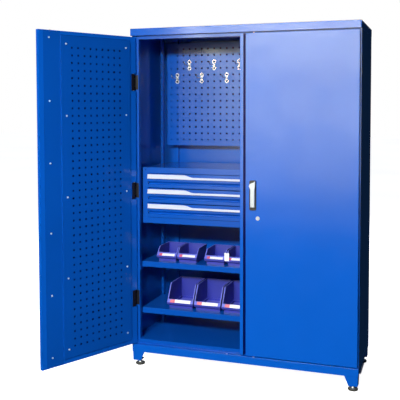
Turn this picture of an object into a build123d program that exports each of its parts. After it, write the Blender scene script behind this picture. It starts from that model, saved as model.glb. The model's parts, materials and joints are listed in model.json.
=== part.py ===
from build123d import *
import math
import os

os.makedirs("parts", exist_ok=True)

# ------------------------------------------------------------------
# Driving dimensions, millimetres. +Z up, +X to the right seen from the
# front, the front faces -Y. The origin is the centre of the carcass
# footprint at floor level.
# ------------------------------------------------------------------
W = 1232.0          # overall width of the carcass
D = 504.0           # overall depth, door fronts to back panel
H = 1856.0          # overall height, floor to top of cap
XL = -W / 2         # left outer face
YF = -D / 2         # plane of the closed door fronts
YB = D / 2          # outer face of the back panel

SHEET = 1.5         # carcass sheet
Z_LEG = 81.0        # underside of the base frame
Z_BASE = 122.0      # top of the base frame
Z_FLOOR = 147.0     # top of the floor panel
Z_CAP = 1818.0      # underside of the cap
Z_RAIL = 1799.0     # lower edge of the top rail

Y_FRAME = YF + 25   # front plane of the carcass frame, behind the doors
POST = 38.0         # width of the front posts

DOOR_T = 22.0       # door thickness
DOOR_Z0 = 127.0
DOOR_Z1 = 1811.0
DOOR_HINGE_EDGE = 6.0    # from the carcass side to the door's hinge edge
DOOR_GAP = 3.0           # between the two doors at the middle
DOOR_OPEN = 116.5        # stored opening angle of the left door
AXIS_T = 13.0            # hinge axis, in from the carcass side
AXIS_D = 11.0            # hinge axis, behind the door front
GROOVE_W = 12.0
GROOVE_D = 18.0
EDGE_W = 19.0            # strip between the groove and the free edge

PITCH = 38.0        # grid of the perforated panels
HOLE = 10.0         # square hole
DOOR_COLS, DOOR_ROWS = 9, 41
DOOR_COL0 = 119.5   # first hole column from the carcass side
DOOR_ROW0 = 1730.0  # top hole row

ROD_T = 543.0       # line of lever and lock rods, from the carcass side
ROD_R = 4.5
ROD_HOLE_R = 7.0
LEVER_Z = 1025.0    # lever spindle
KEY_T, KEY_Z = 518.0, 855.0
SPINDLE = 6.5       # square spindle of the lever
CAM_R = 12.73       # crank radius of the cam pins
ROD_TRAVEL = 18.0
HINGE_Z = (378.0, 974.0, 1566.0)
HINGE_H = 88.0

SHELF_T = 30.0
SHELF_Z = (316.0, 576.0)     # top faces of the two shelves
SHELF_Y0 = YF + 57           # front of shelves and drawer unit

UNIT_X0, UNIT_X1 = XL + 45, XL + 627
UNIT_Z0, UNIT_Z1 = 791.0, 1100.0
UNIT_D = 400.0
DRAWER_TRAVEL = 320.0

PEG_Y = YF + 402             # front face of the pegboard
PEG_X0, PEG_W = XL + 57, 1118.0
PEG_Z0, PEG_Z1 = 1205.0, 1802.0
PEG_COLS, PEG_ROWS = 29, 15

hinge_axis_left = Axis((XL + AXIS_T, YF + AXIS_D, 0), (0, 0, 1))


def slab(x0, x1, y0, y1, z0, z1, mode=Mode.ADD):
    """A block between two corners, added to or cut from the part in work."""
    with BuildSketch(Plane.XY.offset(z0)) as s:
        with Locations(((x0 + x1) / 2, (y0 + y1) / 2)):
            Rectangle(x1 - x0, y1 - y0)
    extrude(s.sketch, amount=z1 - z0, mode=mode)


def rod_z(x, y, z0, z1, r, mode=Mode.ADD):
    with BuildSketch(Plane.XY.offset(z0)) as s:
        with Locations((x, y)):
            Circle(r)
    extrude(s.sketch, amount=z1 - z0, mode=mode)


def rod_y(x, z, y0, y1, r, mode=Mode.ADD):
    """A cylinder along Y from y0 to y1 at (x, z)."""
    with BuildSketch(Plane.XZ.offset(-y0)) as s:
        with Locations((x, z)):
            Circle(r)
    extrude(s.sketch, amount=-(y1 - y0), mode=mode)


def perforated_face(x0, x1, z0, z1, y, squares, rounds=()):
    """Sheet outline in the plane y, with square holes and round holes."""
    def corners(xa, xb, za, zb):
        return Wire.make_polygon([(xa, y, za), (xb, y, za), (xb, y, zb), (xa, y, zb)], close=True)
    holes = [corners(cx - HOLE / 2, cx + HOLE / 2, cz - HOLE / 2, cz + HOLE / 2) for cx, cz in squares]
    holes += [Wire.make_circle(r, Plane(origin=(cx, y, cz), x_dir=(1, 0, 0), z_dir=(0, -1, 0))) for cx, cz, r in rounds]
    return Face(corners(x0, x1, z0, z1), holes)


def finish(builder, name):
    builder.part.label = name
    export_step(builder.part, f"parts/{name}.step")


# ==================================================================
# Carcass
# ==================================================================
# Side panel: outer sheet, front post folded from the same sheet, rear
# flange, and top and bottom flanges.
with BuildPart() as side_panel_left:
    slab(XL, XL + SHEET, Y_FRAME, YB - 2, Z_BASE, Z_CAP)
    slab(XL, XL + POST, Y_FRAME, Y_FRAME + SHEET, Z_BASE, Z_CAP)
    slab(XL + POST - SHEET, XL + POST, Y_FRAME, Y_FRAME + 30, Z_BASE, Z_CAP)
    slab(XL, XL + 20, YB - 2 - SHEET, YB - 2, Z_BASE, Z_CAP)
    # slots for the shelf clips in the inner face of the post
    with BuildSketch(Plane.YZ.offset(XL + POST - 5)) as slots:
        with Locations((Y_FRAME + 16, 230.0 + 38.0 * 19.5)):
            with GridLocations(10, 38, 1, 40):
                Rectangle(5, 17)
    extrude(slots.sketch, amount=10, mode=Mode.SUBTRACT)
finish(side_panel_left, "side_panel_left")

with BuildPart() as side_panel_right:
    mirror(side_panel_left.part, about=Plane.YZ)
finish(side_panel_right, "side_panel_right")

# Back panel: flat sheet.
with BuildPart() as back_panel:
    slab(XL, -XL, YB - 2, YB, Z_BASE, Z_CAP)
finish(back_panel, "back_panel")

# Roof panel with the top rail folded down at its front.
with BuildPart() as roof_panel:
    slab(XL + POST, -XL - POST, Y_FRAME, YB - 4, Z_CAP - SHEET, Z_CAP)
    slab(XL + SHEET, -XL - SHEET, Y_FRAME + 32, YB - 4, Z_CAP - SHEET, Z_CAP)
    slab(XL + POST, -XL - POST, Y_FRAME, Y_FRAME + SHEET, Z_RAIL, Z_CAP)
    slab(XL + POST, -XL - POST, Y_FRAME, Y_FRAME + 26, Z_RAIL, Z_RAIL + SHEET)
    slab(XL + POST, -XL - POST, Y_FRAME + 26 - SHEET, Y_FRAME + 26, Z_RAIL, Z_RAIL + 10)
finish(roof_panel, "roof_panel")

# Floor panel with a stepped front fold standing on the base frame.
with BuildPart() as floor_panel:
    slab(XL + POST, -XL - POST, Y_FRAME, YB - 4, Z_FLOOR - SHEET, Z_FLOOR)
    slab(XL + SHEET, -XL - SHEET, Y_FRAME + 32, YB - 4, Z_FLOOR - SHEET, Z_FLOOR)
    slab(XL + POST, -XL - POST, Y_FRAME, Y_FRAME + SHEET, 130, Z_FLOOR)
    slab(XL + POST, -XL - POST, Y_FRAME, Y_FRAME + 8, 130, 130 + SHEET)
    slab(XL + POST, -XL - POST, Y_FRAME + 8 - SHEET, Y_FRAME + 8, Z_BASE, 130 + SHEET)
    slab(XL + POST, -XL - POST, YB - 4 - SHEET, YB - 4, Z_BASE, Z_FLOOR)
finish(floor_panel, "floor_panel")

# Cap: folded tray over the whole carcass, with a return under its front
# overhang that carries the sockets of the top lock rods.
with BuildPart() as top_cap:
    with BuildSketch(Plane.XY.offset(Z_CAP)):
        with Locations((0, 0)):
            Rectangle(W + 2, D + 0)
    extrude(amount=H - Z_CAP)
    fillet(top_cap.edges().filter_by(Axis.Z), radius=3)
    fillet(top_cap.faces().sort_by(Axis.Z)[-1].edges(), radius=2.0)
    slab(XL + SHEET - 1, -XL - SHEET + 1, YF + SHEET, YB - SHEET, Z_CAP + SHEET, H - SHEET, mode=Mode.SUBTRACT)
    slab(XL + 24, -XL - 24, YF + 28, YB - 20, Z_CAP - 1, Z_CAP + SHEET, mode=Mode.SUBTRACT)
    for x in (XL + ROD_T, -XL - ROD_T):
        rod_z(x, YF + AXIS_D, Z_CAP - 1, Z_CAP + SHEET + 1, ROD_HOLE_R, mode=Mode.SUBTRACT)
finish(top_cap, "top_cap")

# Base frame: folded tray turned down, its top plate under the carcass.
with BuildPart() as base_frame:
    with BuildSketch(Plane.XY.offset(Z_LEG)):
        Rectangle(W, D)
    extrude(amount=Z_BASE - Z_LEG)
    fillet(base_frame.edges().filter_by(Axis.Z), radius=2.5)
    fillet(base_frame.faces().sort_by(Axis.Z)[-1].edges().sort_by(Axis.Y)[0], radius=1.5)
    slab(XL + 2, -XL - 2, YF + 2, YB - 2, Z_LEG - 1, Z_BASE - 2, mode=Mode.SUBTRACT)
    # return flange inside the lower edge of the skirt, front and back
    slab(XL + 2, -XL - 2, YF + 2, YF + 18, Z_LEG, Z_LEG + 2)
    slab(XL + 2, -XL - 2, YB - 18, YB - 2, Z_LEG, Z_LEG + 2)
    for x in (XL + ROD_T, -XL - ROD_T):
        rod_z(x, YF + AXIS_D, Z_BASE - 3, Z_BASE + 1, ROD_HOLE_R, mode=Mode.SUBTRACT)
finish(base_frame, "base_frame")

# ------------------------------------------------------------------
# Legs: folded corner brackets, tapered on both faces, with a foot plate.
# ------------------------------------------------------------------
LEG_Z0 = 31.0
FOOT_X, FOOT_Y = 31.0, 40.0      # foot centre, in from the side and from the front
with BuildPart() as leg_brackets:
    for sx in (-1, 1):
        for sy in (-1, 1):
            xo, yo = sx * (W / 2 - 3), sy * (D / 2 - 3)
            # face towards the front or back
            with BuildSketch(Plane.XZ.offset(-yo)) as s:
                with BuildLine():
                    Polyline((xo, Z_LEG), (xo - sx * 68, Z_LEG), (xo - sx * 47, LEG_Z0), (xo - sx * 3, LEG_Z0), (xo, Z_LEG), close=True)
                make_face()
            extrude(s.sketch, amount=3 * sy)
            # face towards the side
            with BuildSketch(Plane.YZ.offset(xo)) as s:
                with BuildLine():
                    Polyline((yo, Z_LEG), (yo - sy * 68, Z_LEG), (yo - sy * 47, LEG_Z0), (yo - sy * 3, LEG_Z0), (yo, Z_LEG), close=True)
                make_face()
            extrude(s.sketch, amount=-3 * sx)
            # foot plate, bored for the stud
            slab(min(xo - sx * 3, xo - sx * 46), max(xo - sx * 3, xo - sx * 46), min(yo - sy * 3, yo - sy * 49), max(yo - sy * 3, yo - sy * 49), LEG_Z0, LEG_Z0 + 4)
            rod_z(sx * (W / 2 - FOOT_X), sy * (D / 2 - FOOT_Y), LEG_Z0 - 1, LEG_Z0 + 5, 6.2, mode=Mode.SUBTRACT)
finish(leg_brackets, "leg_brackets")

foot_points = [(sx * (W / 2 - FOOT_X), sy * (D / 2 - FOOT_Y)) for sx in (-1, 1) for sy in (-1, 1)]

# Levelling stud with its clamping nut under the foot plate.
with BuildPart() as foot_studs:
    for x, y in foot_points:
        rod_z(x, y, 10.0, 62.0, 6.0)
finish(foot_studs, "foot_studs")

with BuildPart() as foot_nuts:
    for x, y in foot_points:
        for z0 in (LEG_Z0 - 8.0, LEG_Z0 + 4.0):
            with BuildSketch(Plane.XY.offset(z0)) as s:
                with Locations((x, y)):
                    RegularPolygon(11.0, 6)
                    Circle(6.0, mode=Mode.SUBTRACT)
            extrude(s.sketch, amount=8.0)
finish(foot_nuts, "foot_nuts")

# Foot cup: pressed steel dome held in a rubber ring.
with BuildPart() as foot_cups:
    for x, y in foot_points:
        with BuildSketch(Plane(origin=(x, y, 0), x_dir=(1, 0, 0), z_dir=(0, -1, 0))) as s:
            with BuildLine():
                Polyline((0, 4.0), (21, 4.0), (21, 9.0), (12, 13.0), (9, 19.0), (0, 19.0), (0, 4.0), close=True)
            make_face()
        revolve(s.sketch, axis=Axis((x, y, 0), (0, 0, 1)))
        rod_z(x, y, 10.0, 20.0, 6.0, mode=Mode.SUBTRACT)
finish(foot_cups, "foot_cups")

with BuildPart() as foot_rubbers:
    for x, y in foot_points:
        with BuildSketch(Plane(origin=(x, y, 0), x_dir=(1, 0, 0), z_dir=(0, -1, 0))) as s:
            with BuildLine():
                Polyline((0, 0), (24, 0), (25.5, 2.0), (25.5, 8.5), (24.5, 10.0), (21, 10.0), (21, 4.0), (0, 4.0), (0, 0), close=True)
            make_face()
        revolve(s.sketch, axis=Axis((x, y, 0), (0, 0, 1)))
finish(foot_rubbers, "foot_rubbers")

# ------------------------------------------------------------------
# Slotted uprights: one tube beside each side wall, from floor to roof, and
# a channel on the back panel at each side for the pegboard.
# ------------------------------------------------------------------
UP_Z0, UP_Z1 = Z_FLOOR, Z_CAP - SHEET
UP_Y0, UP_Y1 = YF + 350, YF + 375
UP_X0, UP_X1 = 36.0, 48.0      # in from the carcass side
BACK_CHANNEL_T = 83.0
with BuildPart() as slotted_uprights:
    for sx in (-1, 1):
        xa, xb = sorted((sx * (W / 2 - UP_X0), sx * (W / 2 - UP_X1)))
        slab(xa, xb, UP_Y0, UP_Y1, UP_Z0, UP_Z1)
        slab(xa + SHEET, xb - SHEET, UP_Y0 + SHEET, UP_Y1 - SHEET, UP_Z0 - 1, UP_Z1 + 1, mode=Mode.SUBTRACT)
        xc = sx * (W / 2 - BACK_CHANNEL_T)
        slab(xc - 13, xc + 13, YB - 22, YB - 2, UP_Z0, UP_Z1)
        slab(xc - 13 + SHEET, xc + 13 - SHEET, YB - 22 + SHEET, YB - 1, UP_Z0 - 1, UP_Z1 + 1, mode=Mode.SUBTRACT)
    # slots in the front of the side uprights
    with BuildSketch(Plane.XZ.offset(-(UP_Y0 - 1))) as slots:
        with Locations((0, 200.0 + 38.0 * 20.5)):
            with GridLocations(W - UP_X0 - UP_X1, 38, 2, 42):
                Rectangle(4, 17)
    extrude(slots.sketch, amount=-4, mode=Mode.SUBTRACT)
finish(slotted_uprights, "slotted_uprights")

# ------------------------------------------------------------------
# Shelves: folded sheet, deep front fold, shallower rear and side folds,
# stepped in at the sides behind the uprights.
# ------------------------------------------------------------------
SH_Y1 = YB - 26
SH_STEP = UP_Y0 - 8
SH_A, SH_B = XL + 40, XL + 52


def shelf(z):
    slab(SH_A, -SH_A, SHELF_Y0, SH_STEP, z - SHEET, z)
    slab(SH_B, -SH_B, SH_STEP, SH_Y1, z - SHEET, z)
    slab(SH_A, -SH_A, SHELF_Y0, SHELF_Y0 + SHEET, z - SHELF_T, z)
    slab(SH_A, -SH_A, SHELF_Y0, SHELF_Y0 + 16, z - SHELF_T, z - SHELF_T + SHEET)
    slab(SH_B, -SH_B, SH_Y1 - SHEET, SH_Y1, z - SHELF_T, z)
    for xa, xb in ((SH_A, SH_A + SHEET), (-SH_A - SHEET, -SH_A)):
        slab(xa, xb, SHELF_Y0, SH_STEP, z - 24, z)
    for xa, xb in ((SH_B, SH_B + SHEET), (-SH_B - SHEET, -SH_B)):
        slab(xa, xb, SH_STEP, SH_Y1, z - 24, z)
    for xa, xb in ((SH_A, SH_B + SHEET), (-SH_B - SHEET, -SH_A)):
        slab(xa, xb, SH_STEP - SHEET, SH_STEP, z - 24, z)


with BuildPart() as shelf_lower:
    shelf(SHELF_Z[0])
    fillet(shelf_lower.edges().filter_by(Axis.X).filter_by(lambda e: abs(e.center().Y - SHELF_Y0) < 0.01 and abs(e.center().Z - SHELF_Z[0]) < 0.01), radius=1.2)
finish(shelf_lower, "shelf_lower")

with BuildPart() as shelf_upper:
    shelf(SHELF_Z[1])
    fillet(shelf_upper.edges().filter_by(Axis.X).filter_by(lambda e: abs(e.center().Y - SHELF_Y0) < 0.01 and abs(e.center().Z - SHELF_Z[1]) < 0.01), radius=1.2)
finish(shelf_upper, "shelf_upper")

# Shelf clips: steel angles on the posts and the side uprights, under the
# side folds of the shelves.
with BuildPart() as shelf_clips:
    for z in SHELF_Z:
        for sx in (-1, 1):
            for t, y0, y1, y2 in ((POST, YF + 33, YF + 76, YF + 59.5), (UP_X1, YF + 352, YF + 372, YF + 352)):
                xa, xb = sorted((sx * (W / 2 - t), sx * (W / 2 - t - 1.8)))
                slab(xa, xb, y0, y1, z - 46, z - 24)
                xa, xb = sorted((sx * (W / 2 - t), sx * (W / 2 - t - 22)))
                slab(xa, xb, y2, y1, z - 26, z - 24)
finish(shelf_clips, "shelf_clips")

# ------------------------------------------------------------------
# Pegboard: perforated sheet with short folded edges, held off the back
# by brackets on the back uprights.
# ------------------------------------------------------------------
PEG_C0 = PEG_X0 + PEG_W / 2 - PITCH * (PEG_COLS - 1) / 2   # first column
PEG_R0 = PEG_Z1 - 31                                       # top row
peg_holes = [(PEG_C0 + PITCH * c, PEG_R0 - PITCH * r) for c in range(PEG_COLS) for r in range(PEG_ROWS)]
with BuildPart() as pegboard:
    extrude(perforated_face(PEG_X0, PEG_X0 + PEG_W, PEG_Z0, PEG_Z1, PEG_Y, peg_holes), amount=SHEET, dir=(0, 1, 0))
    slab(PEG_X0, PEG_X0 + SHEET, PEG_Y + SHEET, PEG_Y + 15, PEG_Z0, PEG_Z1)
    slab(PEG_X0 + PEG_W - SHEET, PEG_X0 + PEG_W, PEG_Y + SHEET, PEG_Y + 15, PEG_Z0, PEG_Z1)
    slab(PEG_X0, PEG_X0 + PEG_W, PEG_Y + SHEET, PEG_Y + 15, PEG_Z0, PEG_Z0 + SHEET)
    slab(PEG_X0, PEG_X0 + PEG_W, PEG_Y + SHEET, PEG_Y + 15, PEG_Z1 - SHEET, PEG_Z1)
finish(pegboard, "pegboard")

with BuildPart() as pegboard_brackets:
    for sx in (-1, 1):
        xc = sx * (W / 2 - BACK_CHANNEL_T)
        for z in (PEG_Z0 + 60, PEG_Z1 - 90):
            slab(xc - 9, xc + 9, PEG_Y + SHEET, PEG_Y + SHEET + 2, z, z + 36)
            slab(xc - 1, xc + 1, PEG_Y + SHEET, YB - 22, z, z + 36)
            slab(xc - 9, xc + 9, YB - 24, YB - 22, z, z + 36)
finish(pegboard_brackets, "pegboard_brackets")

# Pegboard hooks: pressed back plate with two open rings over two grid
# holes, tongues in the holes, and a round prong with an upturned tip.
hook_spots = [(1, 4), (5, 4), (9, 4), (3, 2), (7, 2), (11, 2)]
with BuildPart() as pegboard_hooks:
    for c, r in hook_spots:
        x = PEG_C0 + PITCH * c
        z1 = PEG_R0 - PITCH * r
        z0 = z1 - PITCH
        with BuildSketch(Plane.XZ.offset(-(PEG_Y))) as s:
            with Locations((x, z0), (x, z1)):
                Circle(11.5)
            with Locations((x, (z0 + z1) / 2)):
                Rectangle(12, PITCH)
            with Locations((x, z0), (x, z1)):
                Circle(6.8, mode=Mode.SUBTRACT)
            with Locations((x, z0 + 5), (x, z1 + 5)):
                Rectangle(3.6, 4.4)
        extrude(s.sketch, amount=2.0)
        slab(x - 1.8, x + 1.8, PEG_Y - 1, PEG_Y + 6, z1 + 2.8, z1 + 4.7)
        slab(x - 1.8, x + 1.8, PEG_Y + SHEET + 0.2, PEG_Y + 6, z1 + 2.8, z1 + 12)
        slab(x - 1.8, x + 1.8, PEG_Y - 1, PEG_Y + 5, z0 + 2.8, z0 + 4.7)
        # prong
        zc = (z0 + z1) / 2
        with BuildLine() as prong_path:
            l1 = Line((x, PEG_Y - 1, zc), (x, PEG_Y - 78, zc))
            a1 = TangentArc(l1 @ 1, (x, PEG_Y - 92, zc + 14), tangent=l1 % 1)
        with BuildSketch(Plane(origin=(x, PEG_Y - 1, zc), x_dir=(1, 0, 0), z_dir=(0, -1, 0))) as s:
            Circle(2.8)
        sweep(s.sketch, path=prong_path.wire())
finish(pegboard_hooks, "pegboard_hooks")

# ==================================================================
# Drawer unit
# ==================================================================
UY0 = SHELF_Y0
BAND_L, BAND_R = 31.0, 21.0
BAND_T, BAND_B = 31.0, 32.0
DX0, DX1 = UNIT_X0 + BAND_L, UNIT_X1 - BAND_R
DZ0, DZ1 = UNIT_Z0 + BAND_B, UNIT_Z1 - BAND_T
with BuildPart() as drawer_housing:
    slab(UNIT_X0, UNIT_X1, UY0, UY0 + 14, UNIT_Z0, UNIT_Z1)
    fillet(drawer_housing.faces().sort_by(Axis.Y)[0].edges(), radius=1.2)
    slab(UNIT_X0 + 5, UNIT_X1 - 5, UY0 + 13, UY0 + UNIT_D, UNIT_Z0, UNIT_Z1)
    slab(UNIT_X0 + 5 + SHEET, UNIT_X1 - 5 - SHEET, UY0 + SHEET, UY0 + UNIT_D - SHEET, UNIT_Z0 + SHEET, UNIT_Z1 - SHEET, mode=Mode.SUBTRACT)
    slab(DX0, DX1, UY0 - 1, UY0 + 3, DZ0, DZ1, mode=Mode.SUBTRACT)
    # small hole in the upper left corner of the front frame
    rod_y(UNIT_X0 + 18, UNIT_Z1 - 12, UY0 - 1, UY0 + 3, 2.5, mode=Mode.SUBTRACT)
finish(drawer_housing, "drawer_housing")

# Cross rails that carry the drawer unit from side wall to side wall.
with BuildPart() as carrier_rails:
    for y0 in (YF + 190, YF + 390):
        slab(XL + SHEET + 0.0, -XL - SHEET - 0.0, y0, y0 + 30, UNIT_Z0 - 20, UNIT_Z0)
        slab(XL, -XL, y0 + 2, y0 + 28, UNIT_Z0 - 21, UNIT_Z0 - 2, mode=Mode.SUBTRACT)
finish(carrier_rails, "carrier_rails")

# Runners: fixed channel on the housing wall, moving member, and drawer
# rail, three to each side.
N_DRAWERS = 3
D_PITCH = (DZ1 - DZ0) / N_DRAWERS
GAP_Z = 5.0
drawer_z = [(DZ1 - D_PITCH * (i + 1) + GAP_Z / 2, DZ1 - D_PITCH * i - GAP_Z / 2) for i in range(N_DRAWERS)]
RUN_Y0, RUN_L = UY0 + 22, 360.0
BOX_X0, BOX_X1 = DX0 + 6, DX1 - 6         # outer faces of the drawer sides
WALL_XL, WALL_XR = DX0 - 1.7, DX1 + 1.7   # mounting faces of the runners

with BuildPart() as drawer_runners:
    for z0, z1 in drawer_z:
        zr = z0 + 22
        for wall, s_ in ((WALL_XL, 1), (WALL_XR, -1)):
            inner = UNIT_X0 + 5 + SHEET if s_ > 0 else UNIT_X1 - 5 - SHEET
            # packing strip from the housing wall, then a channel open inwards
            slab(min(inner, wall), max(inner, wall), RUN_Y0, RUN_Y0 + 20, zr, zr + 34)
            slab(min(inner, wall), max(inner, wall), RUN_Y0 + RUN_L - 20, RUN_Y0 + RUN_L, zr, zr + 34)
            b = wall + s_ * 1.2
            slab(min(wall, b), max(wall, b), RUN_Y0, RUN_Y0 + RUN_L, zr, zr + 34)
            c = wall + s_ * 6.0
            slab(min(wall, c), max(wall, c), RUN_Y0, RUN_Y0 + RUN_L, zr, zr + 1.2)
            slab(min(wall, c), max(wall, c), RUN_Y0, RUN_Y0 + RUN_L, zr + 32.8, zr + 34)
finish(drawer_runners, "drawer_runners")

for i, (z0, z1) in enumerate(drawer_z, start=1):
    zr = z0 + 22
    # moving member of the runner, one on each side
    with BuildPart() as drawer_slide:
        for wall, s_ in ((WALL_XL, 1), (WALL_XR, -1)):
            a = wall + s_ * 2.0
            b = wall + s_ * 3.4
            slab(min(a, b), max(a, b), RUN_Y0 + 4, RUN_Y0 + RUN_L - 6, zr + 2.0, zr + 32.0)
            c = wall + s_ * 7.2
            slab(min(a, c), max(a, c), RUN_Y0 + 4, RUN_Y0 + RUN_L - 6, zr + 2.0, zr + 3.2)
            slab(min(a, c), max(a, c), RUN_Y0 + 4, RUN_Y0 + RUN_L - 6, zr + 30.8, zr + 32.0)
    finish(drawer_slide, f"drawer_slide_{i}")

    # drawer: tray with folded front, and its rails
    with BuildPart() as drawer:
        # front: ledge under the handle, concave grip band, flat face
        with BuildSketch(Plane.YZ.offset(DX0 + 1.5)) as s:
            h = z1 - z0
            with BuildLine():
                l1 = Line((UY0 + 14, z0), (UY0 - 4, z0))
                l2 = Line(l1 @ 1, (UY0 - 4, z0 + 16.5))
                a1 = Polyline(l2 @ 1, (UY0 + 6.5, z0 + 18.5), (UY0 + 8.5, z0 + 21.5), (UY0 + 7.0, z0 + 25.0), (UY0 - 3, z0 + 34))
                l3 = Line(a1 @ 1, (UY0 - 4, z0 + 35))
                l4 = Line(l3 @ 1, (UY0 - 4, z1))
                l5 = Line(l4 @ 1, (UY0 + 14, z1))
                l6 = Line(l5 @ 1, l1 @ 0)
            make_face()
        extrude(s.sketch, amount=DX1 - DX0 - 3)
        # hollow the front from behind
        with BuildSketch(Plane.YZ.offset(DX0 + 4)) as s:
            with BuildLine():
                Polyline((UY0 + 15, z0 + 1.5), (UY0 - 2.5, z0 + 1.5), (UY0 - 2.5, z0 + 14), (UY0 + 6.0, z0 + 16.0), (UY0 + 11, z0 + 20), (UY0 + 11, z0 + 26),
                         (UY0 - 2.5, z0 + 38), (UY0 - 2.5, z1 - 1.5), (UY0 + 15, z1 - 1.5), close=True)
            make_face()
        extrude(s.sketch, amount=DX1 - DX0 - 8, mode=Mode.SUBTRACT)
        # tray
        slab(BOX_X0, BOX_X1, UY0 + 10.5, UY0 + 380, z0 + 8, z1 - 12)
        slab(BOX_X0 + 1.2, BOX_X1 - 1.2, UY0 + 12, UY0 + 378.8, z0 + 9.2, z1 + 1, mode=Mode.SUBTRACT)
        # drawer rails, riding inside the moving members
        for side, wall, s_ in ((BOX_X0, WALL_XL, 1), (BOX_X1, WALL_XR, -1)):
            a = wall + s_ * 4.2
            slab(min(a, side), max(a, side), RUN_Y0 + 8, RUN_Y0 + RUN_L - 12, zr + 4.0, zr + 30.0)
    finish(drawer, f"drawer_{i}")

    # aluminium handle strip: full height at the left, drawn down by an
    # S-curve to half height over the rest
    with BuildPart() as drawer_handle:
        zt, zb = z1 - 4.5, z1 - 4.5 - 23.0
        xs0, xs1 = XL + 281.0, XL + 345.0
        with BuildSketch(Plane.XZ.offset(-(UY0 - 4))) as s:
            with BuildLine():
                h1 = Line((DX0 + 1.5, zb), (DX0 + 1.5, zt))
                h2 = Line(h1 @ 1, (xs0, zt))
                h3 = Spline([h2 @ 1, ((xs0 + xs1) / 2, (zt + zb) / 2 + 5.5), (xs1, zb + 10.0)], tangents=[(1, 0), (1, 0)])
                h4 = Line(h3 @ 1, (DX1 - 1.5, zb + 10.0))
                h5 = Line(h4 @ 1, (DX1 - 1.5, zb))
                h6 = Line(h5 @ 1, h1 @ 0)
            make_face()
        extrude(s.sketch, amount=7.0)
        # finger lip along the lower edge
        slab(DX0 + 1.5, DX1 - 1.5, UY0 - 15, UY0 - 11, zb, zb + 3.5)
        slab(DX0 + 1.5, DX1 - 1.5, UY0 - 13, UY0 - 10, zb, zb + 8.5)
    finish(drawer_handle, f"drawer_handle_{i}")

# ==================================================================
# Storage bins
# ==================================================================


def bin_profile(x0, y0, z0, w, dp, h, slant, wall):
    """An open-fronted stacking bin on a narrower foot: floor, low front wall
    leaning back above an overhanging lip, sides that rise at a slant behind
    it, and a flange along the lip, the slants and the top edges."""
    k = slant / (h - LIP_Z1)      # run of the slanted edge per millimetre of height
    yw = y0 - OVERHANG + k * (WALL_Z - LIP_Z1)
    # foot
    slab(x0 + 5.5, x0 + w - 5.5, y0, y0 + dp - 3, z0, z0 + FOOT_H)
    # body
    with BuildSketch(Plane.YZ.offset(x0)) as s:
        with BuildLine():
            Polyline((y0 - 1, z0 + FOOT_H - 0.5), (y0 + dp, z0 + FOOT_H - 0.5), (y0 + dp, z0 + h), (y0 - OVERHANG + slant, z0 + h),
                     (y0 - OVERHANG, z0 + LIP_Z1), (y0 - OVERHANG, z0 + LIP_Z0), close=True)
        make_face()
    extrude(s.sketch, amount=w)
    # room inside
    with BuildSketch(Plane.YZ.offset(x0 + wall)) as s:
        with BuildLine():
            Polyline((y0 + 1, z0 + FOOT_H + 1.5), (y0 + dp - wall, z0 + FOOT_H + 1.5), (y0 + dp - wall, z0 + h + 5), (y0 - 40, z0 + h + 5), (y0 - 40, z0 + WALL_Z),
                     (yw + wall, z0 + WALL_Z), (y0 - OVERHANG + wall, z0 + LIP_Z1), (y0 - OVERHANG + wall, z0 + LIP_Z0 + 1.5), close=True)
        make_face()
    extrude(s.sketch, amount=w - 2 * wall, mode=Mode.SUBTRACT)
    slab(x0 + 7.5, x0 + w - 7.5, y0 + 2, y0 + dp - 5, z0 + 2, z0 + FOOT_H + 2, mode=Mode.SUBTRACT)
    # flange at both sides, and the lip bar between them
    for xa in (x0 - 2.5, x0 + w - 1.0):
        with BuildSketch(Plane.YZ.offset(xa)) as s:
            with BuildLine():
                Polyline((y0 - OVERHANG - 1, z0 + LIP_Z0), (y0 - OVERHANG - 1, z0 + LIP_Z1), (y0 - OVERHANG + slant - 1, z0 + h), (y0 + dp, z0 + h), (y0 + dp, z0 + h - 3.5),
                         (y0 - OVERHANG + slant + 1, z0 + h - 3.5), (y0 - OVERHANG + 3, z0 + LIP_Z1 - 2), (y0 - OVERHANG + 3, z0 + LIP_Z0), close=True)
            make_face()
        extrude(s.sketch, amount=3.5)
    slab(x0 - 2.5, x0 + w + 2.5, y0 - OVERHANG - 1, y0 - OVERHANG + 1, z0 + LIP_Z0, z0 + LIP_Z1)
    slab(x0, x0 + w, y0 + dp - 1, y0 + dp + 1.5, z0 + h - 4, z0 + h)


FOOT_H = 12.5                 # height of a bin's foot
OVERHANG = 18.0               # lip in front of the foot
LIP_Z0, LIP_Z1 = 22.0, 32.0   # lip bar
WALL_Z = 48.0                 # top of the front wall
SB_W, SB_D, SB_H, SB_SLANT = 110.0, 165.0, 76.0, 44.0
SB_X = [XL + 118, XL + 237, XL + 397, XL + 518]
SB_Y = YF + 100
LB_W, LB_D, LB_H, LB_SLANT = 146.0, 205.0, 127.0, 62.0
LB_X = [XL + 177, XL + 335, XL + 494]
LB_Y = YF + 103

with BuildPart() as small_bins:
    for x in SB_X:
        bin_profile(x, SB_Y, SHELF_Z[1], SB_W, SB_D, SB_H, SB_SLANT, 2.2)
finish(small_bins, "small_bins")

with BuildPart() as large_bins:
    for x in LB_X:
        bin_profile(x, LB_Y, SHELF_Z[0], LB_W, LB_D, LB_H, LB_SLANT, 2.6)
finish(large_bins, "large_bins")


# Plain label cards on the leaning front walls, above the lip bars.
def card(x0, x1, y0, z0, h, slant, top):
    k = slant / (h - LIP_Z1)
    za, zb = LIP_Z1 + 0.6, top
    ya, yb = y0 - OVERHANG + k * (za - LIP_Z1) - 0.05, y0 - OVERHANG + k * (zb - LIP_Z1) - 0.05
    with BuildSketch(Plane.YZ.offset(x0)) as s:
        with BuildLine():
            Polyline((ya, z0 + za), (yb, z0 + zb), (yb - 1.2, z0 + zb), (ya - 1.2, z0 + za), close=True)
        make_face()
    extrude(s.sketch, amount=x1 - x0)


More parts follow.
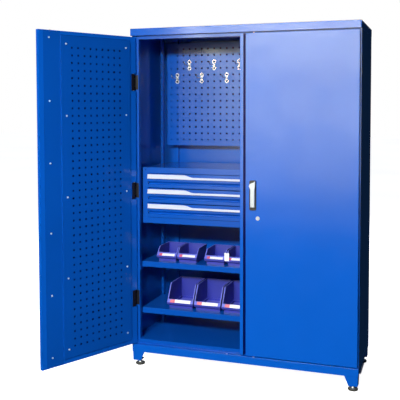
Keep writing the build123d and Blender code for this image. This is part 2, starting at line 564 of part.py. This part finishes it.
with BuildPart() as bin_cards:
    for x in SB_X:
        card(x + 11.5, x + 101.5, SB_Y, SHELF_Z[1], SB_H, SB_SLANT, 43.0)
    for x in LB_X:
        card(x + 15, x + 133, LB_Y, SHELF_Z[0], LB_H, LB_SLANT, WALL_Z - 1.0)
    # upright white tag on the lip between the third and fourth small bins
    slab(SB_X[3] - 9, SB_X[3] + 17, SB_Y - OVERHANG - 2.6, SB_Y - OVERHANG - 1.05, SHELF_Z[1] + 27, SHELF_Z[1] + 70)
finish(bin_cards, "bin_cards")

# ==================================================================
# Doors. Each piece is made once, for the left door in its closed place,
# then turned about the hinge axis for the left door and mirrored for the
# right door.
# ==================================================================
T0 = XL + DOOR_HINGE_EDGE
T1 = -DOOR_GAP / 2
ROD_X = XL + ROD_T
ROD_Y = YF + AXIS_D
KEY_X = XL + KEY_T
G1 = T1 - EDGE_W            # groove side nearer the free edge
G0 = G1 - GROOVE_W
TRAY_X0, TRAY_X1 = XL + 50, XL + 489
TRAY_Z0, TRAY_Z1 = 153.0, 1790.0
TRAY_Y = YF + 27             # inner plane of the tray, proud of the door's own returns
CH_X0, CH_X1 = XL + 490.5, XL + 587
CH_Z0, CH_Z1 = DOOR_Z0 + 6, DOOR_Z1 - 6

with BuildPart() as door_skin:
    slab(T0, T1, YF, YF + DOOR_T, DOOR_Z0, DOOR_Z1)
    fillet(door_skin.faces().sort_by(Axis.Y)[0].edges(), radius=2.0)
    slab(T0 + SHEET, T1 - SHEET, YF + SHEET + 0.5, YF + DOOR_T - SHEET, DOOR_Z0 + SHEET, DOOR_Z1 - SHEET, mode=Mode.SUBTRACT)
    slab(XL + 46, CH_X1 + 0.8, YF + 14, YF + DOOR_T + 1, TRAY_Z0 - 2, TRAY_Z1 + 2, mode=Mode.SUBTRACT)
    slab(CH_X0 - 0.8, CH_X1 + 0.8, YF + 14, YF + DOOR_T + 1, CH_Z0 - 0.8, CH_Z1 + 0.8, mode=Mode.SUBTRACT)
    # grip groove beside the free edge
    slab(G0 - SHEET, G1 + SHEET, YF + 1, YF + GROOVE_D + SHEET, DOOR_Z0, DOOR_Z1 - 4.5)
    slab(G0, G1, YF - 1, YF + GROOVE_D, DOOR_Z0 - 1, DOOR_Z1 - 6, mode=Mode.SUBTRACT)
    # fine seam where the edge profile meets the door face
    slab(T1 - 46.2, T1 - 45.0, YF - 1, YF + 0.6, DOOR_Z0 + 3, DOOR_Z1 - 3, mode=Mode.SUBTRACT)
    # hinge notches in the hinge edge
    for z in HINGE_Z:
        slab(T0 - 1, XL + 37.5, YF + SHEET + 0.5, YF + DOOR_T + 1, z - HINGE_H / 2 - 3, z + HINGE_H / 2 + 3, mode=Mode.SUBTRACT)
    # passages of the lock rods, lever spindle and key cylinder
    rod_z(ROD_X, ROD_Y, DOOR_Z1 - 5, DOOR_Z1 + 1, ROD_R + 0.6, mode=Mode.SUBTRACT)
    rod_z(ROD_X, ROD_Y, DOOR_Z0 - 1, DOOR_Z0 + 5, ROD_R + 0.6, mode=Mode.SUBTRACT)
    rod_y(ROD_X, LEVER_Z, YF - 1, YF + 4, 8.0, mode=Mode.SUBTRACT)
    rod_y(KEY_X, KEY_Z, YF - 1, YF + 4, 8.0, mode=Mode.SUBTRACT)

door_holes = [(XL + DOOR_COL0 + PITCH * c, DOOR_ROW0 - PITCH * r) for c in range(DOOR_COLS) for r in range(DOOR_ROWS)]
tray_screws = [(XL + t, z) for t in (78.5, 459.0) for z in (1748.0, 1389.0, 978.0, 565.0, 199.0)]
TRAY_T = 1.2
with BuildPart() as door_tray:
    extrude(perforated_face(TRAY_X0, TRAY_X1, TRAY_Z0, TRAY_Z1, TRAY_Y - TRAY_T, door_holes, [(x, z, 2.1) for x, z in tray_screws]), amount=TRAY_T, dir=(0, 1, 0))
    for xa in (TRAY_X0, TRAY_X1 - TRAY_T):
        slab(xa, xa + TRAY_T, YF + SHEET + 0.5, TRAY_Y - TRAY_T, TRAY_Z0, TRAY_Z1)
    for za in (TRAY_Z0, TRAY_Z1 - TRAY_T):
        slab(TRAY_X0, TRAY_X1, YF + SHEET + 0.5, TRAY_Y - TRAY_T, za, za + TRAY_T)

with BuildPart() as lock_channel:
    slab(CH_X0, CH_X1, YF + DOOR_T - SHEET, YF + DOOR_T, CH_Z0, CH_Z1)
    slab(CH_X0, CH_X0 + SHEET, YF + SHEET + 0.5, YF + DOOR_T, CH_Z0, CH_Z1)
    slab(G0 - SHEET - 3, G0 - SHEET - 1.5, YF + SHEET + 0.5, YF + DOOR_T, CH_Z0, CH_Z1)
    for z in (1775.0, 1463.0, 1155.0, 805.0, 493.0, 177.0):
        rod_y(XL + 555, z, YF + DOOR_T - 3, YF + DOOR_T + 1, 2.1, mode=Mode.SUBTRACT)

with BuildPart() as door_screws:
    spots = [(x, z, TRAY_Y) for x, z in tray_screws] + [(XL + 555, z, YF + DOOR_T) for z in (1775.0, 1463.0, 1155.0, 805.0, 493.0, 177.0)]
    for x, z, y in spots:
        rod_y(x, z, y - 6, y + 0.5, 1.9)
        rod_y(x, z, y, y + 2.2, 4.5)

# Hinge leaf on the door: C-shaped, a plate with an upper and a lower
# knuckle and a foot on the inside of the door face.
PIN_R = 2.5
KN = 21.0           # length of each door knuckle
with BuildPart() as hinge_door_leaves:
    for zc in HINGE_Z:
        za, zb = zc - HINGE_H / 2, zc + HINGE_H / 2
        slab(XL + 18.5, XL + 36, YF + 19.5, YF + 22, za, zb)
        slab(XL + 32, XL + 36, YF + SHEET + 0.5, YF + 20, za + 8, zb - 8)
        for k0 in (za, zb - KN):
            with BuildSketch(Plane.XY.offset(k0)) as s:
                with Locations((XL + AXIS_T, YF + AXIS_D)):
                    Circle(5.0)
                with BuildLine():
                    Polyline((XL + AXIS_T, YF + AXIS_D + 4.8), (XL + AXIS_T + 4.6, YF + AXIS_D - 1.0), (XL + 19, YF + 19.6), (XL + 19, YF + 22), (XL + 15.5, YF + 22), (XL + AXIS_T, YF + AXIS_D + 4.8), close=True)
                make_face()
                with Locations((XL + AXIS_T, YF + AXIS_D)):
                    Circle(PIN_R + 0.07, mode=Mode.SUBTRACT)
            extrude(s.sketch, amount=KN)

# Hinge leaf on the post: plate on the front of the post and one knuckle
# between the two of the door leaf.
with BuildPart() as frame_leaves_left:
    for zc in HINGE_Z:
        za, zb = zc - HINGE_H / 2, zc + HINGE_H / 2
        k0, k1 = za + KN + 0.4, zb - KN - 0.4
        slab(XL + 12, XL + 35, YF + 23, YF + 25, za + 4, zb - 4)
        with BuildSketch(Plane.XY.offset(k0)) as s:
            with Locations((XL + AXIS_T, YF + AXIS_D)):
                Circle(5.0)
            with Locations((XL + AXIS_T + 3.5, YF + AXIS_D + 6.25)):
                Rectangle(3.0, 12.5)
            with Locations((XL + AXIS_T, YF + AXIS_D)):
                Circle(PIN_R, mode=Mode.SUBTRACT)
        extrude(s.sketch, amount=k1 - k0)
with BuildPart() as hinge_frame_leaves:
    add(frame_leaves_left.part)
    mirror(frame_leaves_left.part, about=Plane.YZ)
finish(hinge_frame_leaves, "hinge_frame_leaves")

with BuildPart() as pins_left:
    for zc in HINGE_Z:
        za, zb = zc - HINGE_H / 2, zc + HINGE_H / 2
        rod_z(XL + AXIS_T, YF + AXIS_D, za - 1.5, zb + 0.4, PIN_R)
        rod_z(XL + AXIS_T, YF + AXIS_D, zb + 0.4, zb + 2.4, 4.2)
with BuildPart() as hinge_pins:
    add(pins_left.part)
    mirror(pins_left.part, about=Plane.YZ)
finish(hinge_pins, "hinge_pins")

# Base plate of the lever handle, outside the door, with a round button
# above the spindle.
with BuildPart() as handle_base:
    with BuildSketch(Plane.XZ.offset(-YF)) as s:
        with Locations((ROD_X + 1.5, 974.0)):
            RectangleRounded(36.0, 156.0, 8.0)
        with Locations((ROD_X, LEVER_Z)):
            Circle(8.0, mode=Mode.SUBTRACT)
    extrude(s.sketch, amount=6.0)
    fillet(handle_base.faces().sort_by(Axis.Y)[0].edges().filter_by(GeomType.LINE), radius=1.0)
    rod_y(ROD_X, LEVER_Z + 19.0, YF - 8.4, YF - 5.5, 7.5)

# Lever: angular boss with a horn on the side away from the free edge, flat
# grip hanging down from it, collar, and a square spindle through the door.
with BuildPart() as lever:
    with BuildSketch(Plane.XZ.offset(-(YF - 9.4))) as s:
        with BuildLine():
            Polyline(*[(ROD_X + u, LEVER_Z + v) for u, v in ((-15, 25), (-12, 24), (-7, 17.5), (5.5, 13.5), (13, 9), (17.5, -1), (11.5, -17.5), (-11.5, -17.5), (-13.2, -3))], close=True)
        make_face()
    extrude(s.sketch, amount=12.0)
    chamfer(lever.faces().sort_by(Axis.Y)[0].edges(), length=0.8)
    slab(ROD_X - 8, ROD_X + 8, YF - 22, YF - 20.7, LEVER_Z + 0.5, LEVER_Z + 3.0, mode=Mode.SUBTRACT)
    with BuildSketch(Plane.XZ.offset(-(YF - 10.4))) as s:
        with Locations((ROD_X, LEVER_Z - 63.0)):
            Rectangle(22.6, 98.0)
    extrude(s.sketch, amount=7.0)
    with BuildSketch(Plane.XZ.offset(-(YF - 17.4))) as s:
        with Locations((ROD_X, LEVER_Z - 63.0)):
            Rectangle(22.6, 98.0)
    extrude(s.sketch, amount=2.4, taper=45)
    slab(ROD_X - SPINDLE / 2, ROD_X + SPINDLE / 2, YF - 10, YF + 13.4, LEVER_Z - SPINDLE / 2, LEVER_Z + SPINDLE / 2)
    rod_y(ROD_X, LEVER_Z, YF - 9.8, YF - 6.4, 7.6)

# Cam plate on the spindle, with two pins for the slotted rod ends. At
# rest the rods are drawn in and the pins stand 45 degrees off level.
pin_a = (ROD_X - CAM_R * math.cos(math.radians(45)), LEVER_Z - CAM_R * math.sin(math.radians(45)))
pin_b = (ROD_X + CAM_R * math.cos(math.radians(45)), LEVER_Z + CAM_R * math.sin(math.radians(45)))
with BuildPart() as lever_cam:
    with BuildSketch(Plane.XZ.offset(-(YF + 10.6))) as s:
        with Locations((ROD_X, LEVER_Z)):
            with Locations(Location((0, 0, 0), (0, 0, 45))):
                SlotOverall(36.0, 13.0)
            Rectangle(SPINDLE, SPINDLE, mode=Mode.SUBTRACT)
    extrude(s.sketch, amount=-2.8)
    rod_y(pin_a[0], pin_a[1], YF + 7.2, YF + 10.8, 2.4)
    rod_y(pin_b[0], pin_b[1], YF + 7.2, YF + 10.8, 2.4)

# Lock rods: round bar with a flat, slotted end beside the cam.
SLOT_H = 6.2
with BuildPart() as lock_rod_top:
    rod_z(ROD_X, ROD_Y, LEVER_Z + 26, DOOR_Z1 + 4.2, ROD_R)
    fillet(lock_rod_top.faces().sort_by(Axis.Z)[-1].edges(), radius=1.2)
    slab(ROD_X - 18.0, ROD_X + 4.5, YF + 7.6, YF + 10.0, LEVER_Z + 19, LEVER_Z + 34)
    slab(ROD_X - 18.0, ROD_X - 5.4, YF + 7.6, YF + 10.0, pin_a[1] - 7, LEVER_Z + 25)
    slab(ROD_X - 16.0, ROD_X - 6.2, YF + 7, YF + 11, pin_a[1] - SLOT_H / 2, pin_a[1] + SLOT_H / 2, mode=Mode.SUBTRACT)
with BuildPart() as lock_rod_bottom:
    rod_z(ROD_X, ROD_Y, DOOR_Z0 - 1.5, LEVER_Z - 26, ROD_R)
    fillet(lock_rod_bottom.faces().sort_by(Axis.Z)[0].edges(), radius=1.2)
    slab(ROD_X - 4.5, ROD_X + 18.0, YF + 7.6, YF + 10.0, LEVER_Z - 34, LEVER_Z - 19)
    slab(ROD_X + 5.4, ROD_X + 18.0, YF + 7.6, YF + 10.0, LEVER_Z - 25, pin_b[1] + 7)
    slab(ROD_X + 6.2, ROD_X + 16.0, YF + 7, YF + 11, pin_b[1] - SLOT_H / 2, pin_b[1] + SLOT_H / 2, mode=Mode.SUBTRACT)

# Key lock: flanged housing through the door face, and a turning plug
# with its keyway and a locking tongue inside the door.
with BuildPart() as key_body:
    rod_y(KEY_X, KEY_Z, YF - 3.5, YF, 10.5)
    fillet(key_body.faces().sort_by(Axis.Y)[0].edges(), radius=1.2)
    rod_y(KEY_X, KEY_Z, YF - 0.5, YF + 9, 7.9)
    rod_y(KEY_X, KEY_Z, YF - 5, YF + 10, 5.6, mode=Mode.SUBTRACT)
with BuildPart() as key_plug:
    rod_y(KEY_X, KEY_Z, YF - 4.3, YF + 10.5, 5.52)
    slab(KEY_X - 0.7, KEY_X + 0.7, YF - 5, YF - 1.0, KEY_Z - 3.6, KEY_Z + 3.6, mode=Mode.SUBTRACT)
    slab(KEY_X - 5.0, KEY_X + 5.0, YF + 10.3, YF + 12.3, KEY_Z - 19, KEY_Z + 5.0)

door_pieces = [
    (door_skin, "door_skin"),
    (door_tray, "door_tray"),
    (lock_channel, "lock_channel"),
    (door_screws, "door_screws"),
    (hinge_door_leaves, "hinge_door_leaves"),
    (handle_base, "handle_base"),
    (lever, "lever"),
    (lever_cam, "lever_cam"),
    (lock_rod_top, "lock_rod_top"),
    (lock_rod_bottom, "lock_rod_bottom"),
    (key_body, "key_body"),
    (key_plug, "key_plug"),
]
for piece, name in door_pieces:
    with BuildPart() as left_piece:
        add(piece.part.rotate(hinge_axis_left, -DOOR_OPEN))
    finish(left_piece, f"{name}_left")
    with BuildPart() as right_piece:
        mirror(piece.part, about=Plane.YZ)
    finish(right_piece, f"{name}_right")
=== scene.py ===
import json
import math

import bpy
from mathutils import Matrix, Vector

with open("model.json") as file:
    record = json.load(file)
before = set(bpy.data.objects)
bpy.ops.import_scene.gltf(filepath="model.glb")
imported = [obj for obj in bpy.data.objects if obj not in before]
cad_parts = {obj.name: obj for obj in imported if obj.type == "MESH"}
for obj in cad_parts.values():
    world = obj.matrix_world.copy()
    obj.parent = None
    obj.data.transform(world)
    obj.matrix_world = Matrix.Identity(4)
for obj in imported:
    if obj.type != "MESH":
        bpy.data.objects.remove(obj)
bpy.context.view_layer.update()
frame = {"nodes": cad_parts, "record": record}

nodes = frame["nodes"]


# ---------------------------------------------------------------- materials
def srgb(r, g, b):
    def lin(v):
        v = v / 255.0
        return v / 12.92 if v <= 0.04045 else ((v + 0.055) / 1.055) ** 2.4
    return (lin(r), lin(g), lin(b), 1.0)


class Mat:
    """A small builder for node materials: coordinates in object space, so
    every pattern has its real size in metres."""

    def __init__(self, name):
        self.m = bpy.data.materials.new(name)
        self.m.use_nodes = True
        self.t = self.m.node_tree
        self.bsdf = next(n for n in self.t.nodes if n.type == "BSDF_PRINCIPLED")
        self.co = self.t.nodes.new("ShaderNodeTexCoord")

    def node(self, kind, **inputs):
        n = self.t.nodes.new(kind)
        for k, v in inputs.items():
            n.inputs[k.replace("_", " ")].default_value = v
        return n

    def link(self, a, b):
        self.t.links.new(a, b)

    def noise(self, scale, detail=2.0, rough=0.5, stretch=(1, 1, 1)):
        mp = self.node("ShaderNodeMapping")
        mp.inputs["Scale"].default_value = stretch
        self.link(self.co.outputs["Object"], mp.inputs["Vector"])
        n = self.node("ShaderNodeTexNoise")
        n.inputs["Scale"].default_value = scale
        n.inputs["Detail"].default_value = detail
        n.inputs["Roughness"].default_value = rough
        self.link(mp.outputs["Vector"], n.inputs["Vector"])
        return n.outputs["Fac"]

    def ramp(self, fac, stops):
        r = self.t.nodes.new("ShaderNodeValToRGB")
        el = r.color_ramp.elements
        el[0].position, el[0].color = stops[0]
        el[1].position, el[1].color = stops[-1]
        for p, c in stops[1:-1]:
            e = el.new(p)
            e.color = c
        self.link(fac, r.inputs["Fac"])
        return r.outputs["Color"]

    def span(self, fac, lo, hi, a=0.0, b=1.0):
        r = self.t.nodes.new("ShaderNodeMapRange")
        r.inputs["From Min"].default_value = a
        r.inputs["From Max"].default_value = b
        r.inputs["To Min"].default_value = lo
        r.inputs["To Max"].default_value = hi
        self.link(fac, r.inputs["Value"])
        return r.outputs["Result"]

    def math(self, op, a, b):
        n = self.t.nodes.new("ShaderNodeMath")
        n.operation = op
        for i, v in enumerate((a, b)):
            if isinstance(v, (int, float)):
                n.inputs[i].default_value = v
            else:
                self.link(v, n.inputs[i])
        return n.outputs["Value"]

    def band(self, v, lo, hi):
        """1 between lo and hi, 0 outside."""
        return self.math("MULTIPLY", self.math("GREATER_THAN", v, lo), self.math("LESS_THAN", v, hi))

    def xyz(self):
        sep = self.t.nodes.new("ShaderNodeSeparateXYZ")
        self.link(self.co.outputs["Object"], sep.inputs["Vector"])
        return sep.outputs["X"], sep.outputs["Y"], sep.outputs["Z"]

    def dot(self, direction, origin):
        """Distance from origin along a fixed direction."""
        n = self.t.nodes.new("ShaderNodeVectorMath")
        n.operation = "DOT_PRODUCT"
        self.link(self.co.outputs["Object"], n.inputs[0])
        n.inputs[1].default_value = direction
        off = sum(p * q for p, q in zip(direction, origin))
        return self.math("SUBTRACT", n.outputs["Value"], off)

    def mix(self, fac, a, b):
        n = self.t.nodes.new("ShaderNodeMix")
        n.data_type = "RGBA"
        self.link(fac, n.inputs["Factor"])
        for key, v in (("A", a), ("B", b)):
            sock = next(i for i in n.inputs if i.name == key and i.type == "RGBA")
            if isinstance(v, tuple):
                sock.default_value = v
            else:
                self.link(v, sock)
        return next(o for o in n.outputs if o.type == "RGBA")

    def color(self, out):
        self.link(out, self.bsdf.inputs["Base Color"])

    def rough(self, out):
        self.link(out, self.bsdf.inputs["Roughness"])

    def bump(self, height, strength=0.1, distance=0.001):
        b = self.t.nodes.new("ShaderNodeBump")
        b.inputs["Strength"].default_value = strength
        b.inputs["Distance"].default_value = distance
        self.link(height, b.inputs["Height"])
        self.link(b.outputs["Normal"], self.bsdf.inputs["Normal"])


def tint(c, k):
    return (c[0] * k, c[1] * k, c[2] * k, 1.0)


def powder(name, base, rough=0.14, spec=0.5, peel=0.02):
    """Powder coat: orange peel at about 1.5 mm, slow cloudiness in colour
    and gloss."""
    m = Mat(name)
    cloud = m.noise(3.2, 3.0, 0.55)
    fleck = m.noise(240.0, 2.0, 0.6)
    both = m.math("ADD", m.math("MULTIPLY", cloud, 0.8), m.math("MULTIPLY", fleck, 0.2))
    m.body = m.ramp(both, [(0.32, tint(base, 0.96)), (0.68, tint(base, 1.03))])
    m.color(m.body)
    m.rough(m.span(m.noise(11.0, 4.0, 0.6), rough - 0.01, rough + 0.01, 0.3, 0.7))
    m.bump(m.noise(620.0, 1.5, 0.5), peel, 0.0006)
    m.bsdf.inputs["Specular IOR Level"].default_value = spec
    return m


BLUE = srgb(8, 98, 208)
# painted shade: a darker copy of the blue paint for the parts inside the cabinet
BLUE_SHADED_IN = srgb(6, 86, 186)
PAINTED_SHADE_NAVY = srgb(0, 22, 104)
paint = powder("blue_powder_coat", BLUE).m
paint_shaded_in = powder("blue_powder_coat_shaded_inside", BLUE_SHADED_IN, 0.14).m


def door_paint(name, origin, along, normal):
    """Door paint, with painted shade: the grip groove beside the free edge is
    coloured near black, and the skin behind the tray darker. `along` runs from the hinge to the free edge and
    `normal` into the cabinet when closed; the origin is at the carcass corner on the front."""
    m = powder(name, BLUE)
    t = m.dot(along, origin)
    d = m.dot(normal, origin)
    # painted shade: the grip groove is coloured near black
    groove = m.math("MULTIPLY", m.band(t, 0.5824, 0.5966), m.band(d, -0.001, 0.0190))
    # painted shade: darker colour inside the skin, behind the perforated tray
    behind = m.math("MULTIPLY", m.band(t, 0.052, 0.487), m.band(d, 0.0010, 0.0215))
    m.color(m.mix(m.math("ADD", groove, m.math("MULTIPLY", behind, 0.85)), m.body, PAINTED_SHADE_NAVY))
    return m.m


# back panel: painted shade, darker on its front face where the pegboard covers it
m = powder("blue_back_panel", BLUE_SHADED_IN, 0.14)
x, y, z = m.xyz()
painted_shade_behind_pegboard = m.math("MULTIPLY", m.math("MULTIPLY", m.band(x, -0.54, 0.54), m.band(z, 1.235, 1.80)), m.math("LESS_THAN", y, 0.2505))
m.color(m.mix(m.math("MULTIPLY", painted_shade_behind_pegboard, 0.9), m.body, srgb(0, 14, 60)))
paint_back = m.m


def metal(name, col, rough, metallic=1.0, brushed=None, grain=0.05, spread=0.05, spec=0.5):
    m = Mat(name)
    m.bsdf.inputs["Specular IOR Level"].default_value = spec
    m.bsdf.inputs["Metallic"].default_value = metallic
    stretch = brushed or (1, 1, 1)
    g = m.noise(420.0 if brushed else 60.0, 3.0, 0.6, stretch)
    m.color(m.ramp(g, [(0.25, tint(col, 0.92)), (0.75, tint(col, 1.04))]))
    m.rough(m.span(g, rough - spread, rough + spread, 0.3, 0.7))
    m.bump(g, grain, 0.0004)
    return m.m


chrome = metal("lever_chrome", (0.62, 0.67, 0.68, 1), 0.30, 0.03, None, 0.01, 0.02, 0.3)
hookm = metal("hook_chrome", (0.42, 0.44, 0.50, 1), 0.20, 0.8, None, 0.02, 0.03)
screw = metal("blue_passivated_zinc", (0.62, 0.84, 1.0, 1), 0.36, 0.25, None, 0.05, 0.05)
zinc = metal("zinc_steel", (0.50, 0.51, 0.53, 1), 0.38, 0.9, None, 0.10, 0.08)
alu = metal("satin_aluminium", (0.66, 0.71, 0.82, 1), 0.40, 0.01, (0.02, 1, 1), 0.02, 0.04, 0.08)
blacksteel = powder("black_hinge_steel", (0.010, 0.010, 0.016, 1), 0.30, 0.15, 0.05).m


def plastic(name, base, rough, grain=0.08, scale=900.0, spec=0.5):
    m = Mat(name)
    m.color(m.ramp(m.noise(6.0, 2.0), [(0.3, tint(base, 0.94)), (0.7, tint(base, 1.06))]))
    m.rough(m.span(m.noise(25.0, 3.0), rough - 0.04, rough + 0.05, 0.3, 0.7))
    m.bump(m.noise(scale, 2.0), grain, 0.0005)
    m.bsdf.inputs["Specular IOR Level"].default_value = spec
    return m.m


black = plastic("black_plastic", (0.010, 0.010, 0.014, 1), 0.42, 0.1, 1400.0, 0.2)
rubber = plastic("rubber", (0.018, 0.018, 0.018, 1), 0.75, 0.3, 700.0)
m = Mat("violet_blue_plastic")
moulded = m.ramp(m.noise(6.0, 2.0), [(0.3, tint(srgb(44, 54, 162), 0.95)), (0.7, tint(srgb(44, 54, 162), 1.05))])
geo = m.t.nodes.new("ShaderNodeNewGeometry")
sep = m.t.nodes.new("ShaderNodeSeparateXYZ")
m.link(geo.outputs["True Normal"], sep.inputs["Vector"])
# painted highlight: faces pointing upward are tinted lighter
upward_face_highlight = m.math("GREATER_THAN", sep.outputs["Z"], 0.3)
m.color(m.mix(upward_face_highlight, moulded, srgb(108, 118, 226)))
m.rough(m.span(m.noise(25.0, 3.0), 0.36, 0.44, 0.3, 0.7))
m.bsdf.inputs["Specular IOR Level"].default_value = 0.2
binmat = m.m

# Label cards: white, with a red field at the left end of each, placed by
# position; the upright tag in front of them stays white.
XL, YF = -0.616, -0.252
m = Mat("label_card")
x, y, z = m.xyz()
red = None
for x0 in (0.118, 0.237, 0.397, 0.518):
    b = m.math("MULTIPLY", m.band(x, XL + x0 + 0.0110, XL + x0 + 0.0285), m.band(z, 0.576, 0.660))
    red = b if red is None else m.math("ADD", red, b)
for x0 in (0.177, 0.335, 0.494):
    b = m.math("MULTIPLY", m.band(x, XL + x0 + 0.0145, XL + x0 + 0.0420), m.band(z, 0.316, 0.460))
    red = m.math("ADD", red, b)
red = m.math("MULTIPLY", red, m.math("GREATER_THAN", y, YF + 0.08115))
fibre = m.noise(300.0, 4.0, 0.7)
white = m.ramp(fibre, [(0.3, (0.88, 0.88, 0.92, 1)), (0.7, (0.97, 0.97, 0.99, 1))])
m.color(m.mix(red, white, srgb(222, 88, 122)))
m.rough(m.span(fibre, 0.5, 0.62))
m.bump(fibre, 0.1, 0.0003)
card_white = m.m

A = math.radians(-116.5)
HX, HY = XL + 0.013, YF + 0.011
left_along = (math.cos(A), math.sin(A), 0)
left_normal = (-math.sin(A), math.cos(A), 0)
left_origin = (HX - 0.013 * left_along[0] - 0.011 * left_normal[0], HY - 0.013 * left_along[1] - 0.011 * left_normal[1], 0)
door_left = door_paint("blue_door_left", left_origin, left_along, left_normal)
door_right = door_paint("blue_door_right", (-XL, YF, 0), (-1, 0, 0), (0, 1, 0))

by_slot = {
    "blue_paint": paint, "steel_grey": zinc, "chrome": chrome, "black_steel": blacksteel,
    "black_plastic": black, "rubber": rubber, "aluminium": alu, "bin_plastic": binmat, "card": card_white,
}
outside = ("base_frame", "top_cap", "leg_brackets")
own = {"pegboard_hooks": hookm, "back_panel": paint_back, "door_skin_left": door_left, "door_skin_right": door_right, "door_screws_left": screw, "door_screws_right": screw}
slot_of = {s["node"]: s["material_slot"] for s in frame["record"]["subparts"]}
for name, ob in nodes.items():
    mat = by_slot[slot_of[name]]
    # painted shade: blue parts inside the cabinet take the darker copy of the paint
    if slot_of[name] == "blue_paint" and name not in outside:
        mat = paint_shaded_in
    mat = own.get(name, mat)
    ob.data.materials.clear()
    ob.data.materials.append(mat)

# ---------------------------------------------------------------- stage
fm = Mat("pale_floor")
pale = fm.ramp(fm.noise(0.7, 2.0), [(0.3, (0.84, 0.84, 0.85, 1)), (0.7, (0.88, 0.88, 0.89, 1))])
fm.color(pale)
fm.bsdf.inputs["Roughness"].default_value = 1.0
fm.bsdf.inputs["Specular IOR Level"].default_value = 0.0
fm.link(pale, fm.bsdf.inputs["Emission Color"])
fx, fy, _ = fm.xyz()
# the floor stays in shade under the middle and rear of the cabinet
under = fm.math("MULTIPLY", fm.band(fx, -0.60, 0.60), fm.band(fy, 0.02, 0.25))
fm.link(fm.math("SUBTRACT", 1.15, fm.math("MULTIPLY", under, 1.13)), fm.bsdf.inputs["Emission Strength"])
bpy.ops.mesh.primitive_plane_add(size=60, location=(0, 0, 0))
floor = bpy.context.object
floor.name = "floor"
floor.data.materials.append(fm.m)
floor.visible_diffuse = False
floor.visible_glossy = False


def area(name, loc, target, sx, sy, power, col=(1, 1, 1), diffuse=True, glossy=True):
    d = bpy.data.lights.new(name, "AREA")
    d.shape = "RECTANGLE"
    d.size, d.size_y = sx, sy
    d.energy = power
    d.color = col
    o = bpy.data.objects.new(name, d)
    bpy.context.collection.objects.link(o)
    o.location = loc
    o.rotation_euler = (Vector(target) - Vector(loc)).to_track_quat("-Z", "Y").to_euler()
    o.visible_camera = False
    o.visible_diffuse = diffuse
    o.visible_glossy = glossy
    return o


area("key_softbox", (-0.15, -4.6, 2.5), (-0.15, -2.4, -0.8), 1.8, 0.4, 306, glossy=False)
area("left_softbox", (-4.2, 0.8, 2.2), (-0.6, 0.2, 1.0), 2.0, 2.4, 76, glossy=False)
area("rear_softbox", (-0.8, 4.6, 2.6), (0.0, 0.25, 1.0), 2.6, 2.0, 120, glossy=False)
# Softboxes seen in the gloss of the paint only: brighter towards the top.
CARDS = ((-1.80, 1.15, 0.03, 0.5), (-1.80, 1.15, 0.42, 2.0), (-1.80, 1.15, 0.80, 23.0), (-1.90, 1.15, 2.10, 18.0))
for i, (x0, x1, z0, level) in enumerate(CARDS):
    z1 = 4.2
    area(f"gloss_card_{i}", ((x0 + x1) / 2, -4.8, (z0 + z1) / 2), ((x0 + x1) / 2, 0.0, (z0 + z1) / 2), x1 - x0, z1 - z0, 4 * (x1 - x0) * (z1 - z0) * level, (1.0, 0.99, 0.78), diffuse=False)

world = bpy.data.worlds.new("studio")
bpy.context.scene.world = world
world.use_nodes = True
wt = world.node_tree
wt.nodes.clear()
out = wt.nodes.new("ShaderNodeOutputWorld")
mixw = wt.nodes.new("ShaderNodeMixShader")
lp = wt.nodes.new("ShaderNodeLightPath")
dim = wt.nodes.new("ShaderNodeBackground")
dim.inputs["Color"].default_value = (0.12, 0.42, 1.0, 1)
dim.inputs["Strength"].default_value = 0.04
white = wt.nodes.new("ShaderNodeBackground")
white.inputs["Color"].default_value = (1, 1, 1, 1)
white.inputs["Strength"].default_value = 1.0
wt.links.new(lp.outputs["Is Camera Ray"], mixw.inputs["Fac"])
wt.links.new(dim.outputs["Background"], mixw.inputs[1])
wt.links.new(white.outputs["Background"], mixw.inputs[2])
wt.links.new(mixw.outputs["Shader"], out.inputs["Surface"])

sc = bpy.context.scene
sc.view_settings.view_transform = "Standard"
sc.view_settings.look = "None"

# ---------------------------------------------------------------- camera
FPX, CX, CY = 715.9, 200.0, 142.25
YAW, PITCH, ROLL = 0.329, 0.05, 0.002
CAM = Vector((1.0045, -3.8296, 1.4345))
fwd = Vector((-math.sin(YAW) * math.cos(PITCH), math.cos(YAW) * math.cos(PITCH), -math.sin(PITCH)))
right = Vector((math.cos(YAW), math.sin(YAW), 0))
down = fwd.cross(right)
cr, sr = math.cos(ROLL), math.sin(ROLL)
r2 = right * cr + down * sr
d2 = down * cr - right * sr
up = -d2
back = -fwd
cd = bpy.data.cameras.new("camera")
cam = bpy.data.objects.new("camera", cd)
bpy.context.collection.objects.link(cam)
cam.matrix_world = Matrix((
    (r2.x, up.x, back.x, CAM.x),
    (r2.y, up.y, back.y, CAM.y),
    (r2.z, up.z, back.z, CAM.z),
    (0, 0, 0, 1)))
cd.sensor_width = 36.0
cd.lens = FPX / 400.0 * 36.0
cd.shift_x = -(CX - 200.0) / 400.0 * -1.0
cd.shift_y = -(200.0 - CY) / 400.0
cd.clip_start, cd.clip_end = 0.05, 100.0
sc.camera = cam
